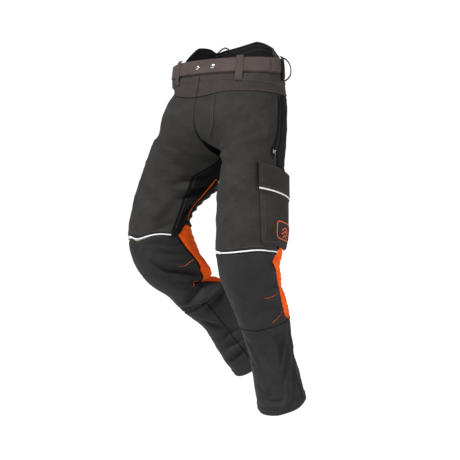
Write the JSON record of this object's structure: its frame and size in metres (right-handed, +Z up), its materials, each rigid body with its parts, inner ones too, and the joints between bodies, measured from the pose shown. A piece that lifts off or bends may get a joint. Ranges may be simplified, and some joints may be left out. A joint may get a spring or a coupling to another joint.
{
  "type": "chainsaw trousers",
  "caption": "Full-length charcoal chainsaw protective trousers in mid stride with raised back, belt, zipped vents, cargo pocket and orange knee backs",
  "frame": {"origin": "middle of the waist opening, at half the height of the belt, where a wearer or a display form holds the garment", "axes": "+Z up, -Y towards the wearer's front, +X towards the wearer's left"},
  "size_m": [0.5828, 0.506, 1.1413],
  "materials": {
    "belt_cloth": "brown-grey woven cotton blend with stitched edges",
    "yoke_cloth": "brown-grey plain-weave stretch cloth",
    "leg_cloth": "charcoal protective cloth with a fine weave",
    "knee_cloth": "black hard-wearing coated cloth",
    "riser_cloth": "dark grey elastic knit",
    "black_webbing": "black woven webbing and zip tape",
    "piping": "pale grey reflective piping",
    "orange_cloth": "bright orange high-visibility stretch cloth",
    "pocket_cloth": "brown-grey pocket cloth",
    "nickel": "bright nickel plate",
    "pull_plastic": "black moulded zip puller",
    "cut_pack": "pale yellow layered cut-stop fibre mat, hidden between the layers"
  },
  "bodies": {
    "waist": {"waistband": "belt_cloth", "left_yoke": "yoke_cloth", "right_yoke": "yoke_cloth", "belt": "belt_cloth", "belt_stud_0": "nickel", "belt_stud_1": "nickel", "belt_loop_0": "belt_cloth", "belt_loop_1": "belt_cloth", "belt_loop_2": "black_webbing", "belt_loop_3": "black_webbing", "belt_loop_4": "black_webbing", "left_tool_strap": "black_webbing", "right_tool_strap": "black_webbing", "back_riser": "riser_cloth", "hanger_loop": "riser_cloth", "fly_flap": "leg_cloth", "fly_zip": "black_webbing"},
    "left_thigh": {"left_front_panel": "leg_cloth", "left_back_panel": "knee_cloth", "left_thigh_pack": "cut_pack", "left_knee_piping": "piping", "left_pocket_zip": "black_webbing", "left_outer_vent_zip": "black_webbing", "left_inner_vent_zip": "black_webbing", "cargo_pocket": "pocket_cloth", "cargo_patch": "orange_cloth"},
    "left_shin": {"left_knee_panel": "knee_cloth", "left_knee_back_panel": "orange_cloth", "left_shin_pack": "cut_pack", "left_shin_panel": "knee_cloth", "left_calf_panel": "knee_cloth", "left_hem_facing": "knee_cloth"},
    "left_pocket_slider": {"left_pocket_zip_slider": "nickel", "left_pocket_zip_pull": "pull_plastic"},
    "left_outer_vent_runner": {"left_outer_vent_slider": "nickel", "left_outer_vent_pull": "pull_plastic"},
    "left_inner_vent_runner": {"left_inner_vent_slider": "nickel", "left_inner_vent_pull": "pull_plastic"},
    "right_thigh": {"right_front_panel": "leg_cloth", "right_back_panel": "knee_cloth", "right_thigh_pack": "cut_pack", "right_knee_piping": "piping", "right_pocket_zip": "black_webbing", "right_outer_vent_zip": "black_webbing", "right_inner_vent_zip": "black_webbing"},
    "right_shin": {"right_knee_panel": "knee_cloth", "right_knee_back_panel": "orange_cloth", "right_shin_pack": "cut_pack", "right_shin_panel": "knee_cloth", "right_calf_panel": "knee_cloth", "right_hem_facing": "knee_cloth"},
    "right_pocket_slider": {"right_pocket_zip_slider": "nickel", "right_pocket_zip_pull": "pull_plastic"},
    "right_outer_vent_runner": {"right_outer_vent_slider": "nickel", "right_outer_vent_pull": "pull_plastic"},
    "right_inner_vent_runner": {"right_inner_vent_slider": "nickel", "right_inner_vent_pull": "pull_plastic"},
    "fly_runner": {"fly_zip_slider": "nickel"},
    "pocket_flap": {"cargo_flap": "pocket_cloth", "cargo_flap_piping": "piping"}
  },
  "joints": [
    {"name": "left_hip", "type": "hinge", "parent": "waist", "child": "left_thigh", "pos_m": [0.092, 0, -0.19], "axis": [-1, 0, 0], "range_deg": [-8, 21], "deforming": ["left_front_panel", "left_back_panel", "left_pocket_zip", "left_thigh_pack", "left_outer_vent_zip", "left_inner_vent_zip", "fly_flap", "fly_zip"]},
    {"name": "left_knee", "type": "hinge", "parent": "left_thigh", "child": "left_shin", "pos_m": [0.1203, -0.05563, -0.56499], "axis": [0.9845, 0.171, 0.0386], "range_deg": [-24, 25], "deforming": ["left_knee_panel", "left_knee_back_panel", "left_shin_pack"]},
    {"name": "left_pocket_zip_slide", "type": "slide", "parent": "left_thigh", "child": "left_pocket_slider", "axis": [0.0235, 0.186, 0.9823], "range_m": [0, 0.148]},
    {"name": "left_outer_vent_zip_slide", "type": "slide", "parent": "left_thigh", "child": "left_outer_vent_runner", "axis": [0.0985, -0.2641, -0.9595], "range_m": [0, 0.175]},
    {"name": "left_inner_vent_zip_slide", "type": "slide", "parent": "left_thigh", "child": "left_inner_vent_runner", "axis": [0.0105, -0.2622, -0.965], "range_m": [0, 0.176]},
    {"name": "right_hip", "type": "hinge", "parent": "waist", "child": "right_thigh", "pos_m": [-0.092, 0, -0.19], "axis": [-1, 0, 0], "range_deg": [-20, 15], "deforming": ["right_front_panel", "right_back_panel", "right_pocket_zip", "right_thigh_pack", "right_outer_vent_zip", "right_inner_vent_zip"]},
    {"name": "right_knee", "type": "hinge", "parent": "right_thigh", "child": "right_shin", "pos_m": [-0.24586, -0.01658, -0.53723], "axis": [0.6852, -0.6803, -0.26], "range_deg": [-42, 9], "deforming": ["right_knee_panel", "right_knee_back_panel", "right_shin_pack"]},
    {"name": "right_pocket_zip_slide", "type": "slide", "parent": "right_thigh", "child": "right_pocket_slider", "axis": [0.2412, 0.0454, 0.9694], "range_m": [0, 0.138]},
    {"name": "right_outer_vent_zip_slide", "type": "slide", "parent": "right_thigh", "child": "right_outer_vent_runner", "axis": [-0.6054, -0.3061, -0.7347], "range_m": [0, 0.168]},
    {"name": "right_inner_vent_zip_slide", "type": "slide", "parent": "right_thigh", "child": "right_inner_vent_runner", "axis": [-0.5114, -0.3458, -0.7867], "range_m": [0, 0.14]},
    {"name": "fly_zip_slide", "type": "slide", "parent": "waist", "child": "fly_runner", "axis": [0.0162, -0.1732, -0.9848], "range_m": [0, 0.129]},
    {"name": "pocket_flap_hinge", "type": "hinge", "parent": "left_thigh", "child": "pocket_flap", "pos_m": [0.18673, 0.01005, -0.30832], "axis": [0.2115, -0.9598, 0.1844], "range_deg": [0, 100], "deforming": ["cargo_flap", "cargo_flap_piping"]}
  ]
}
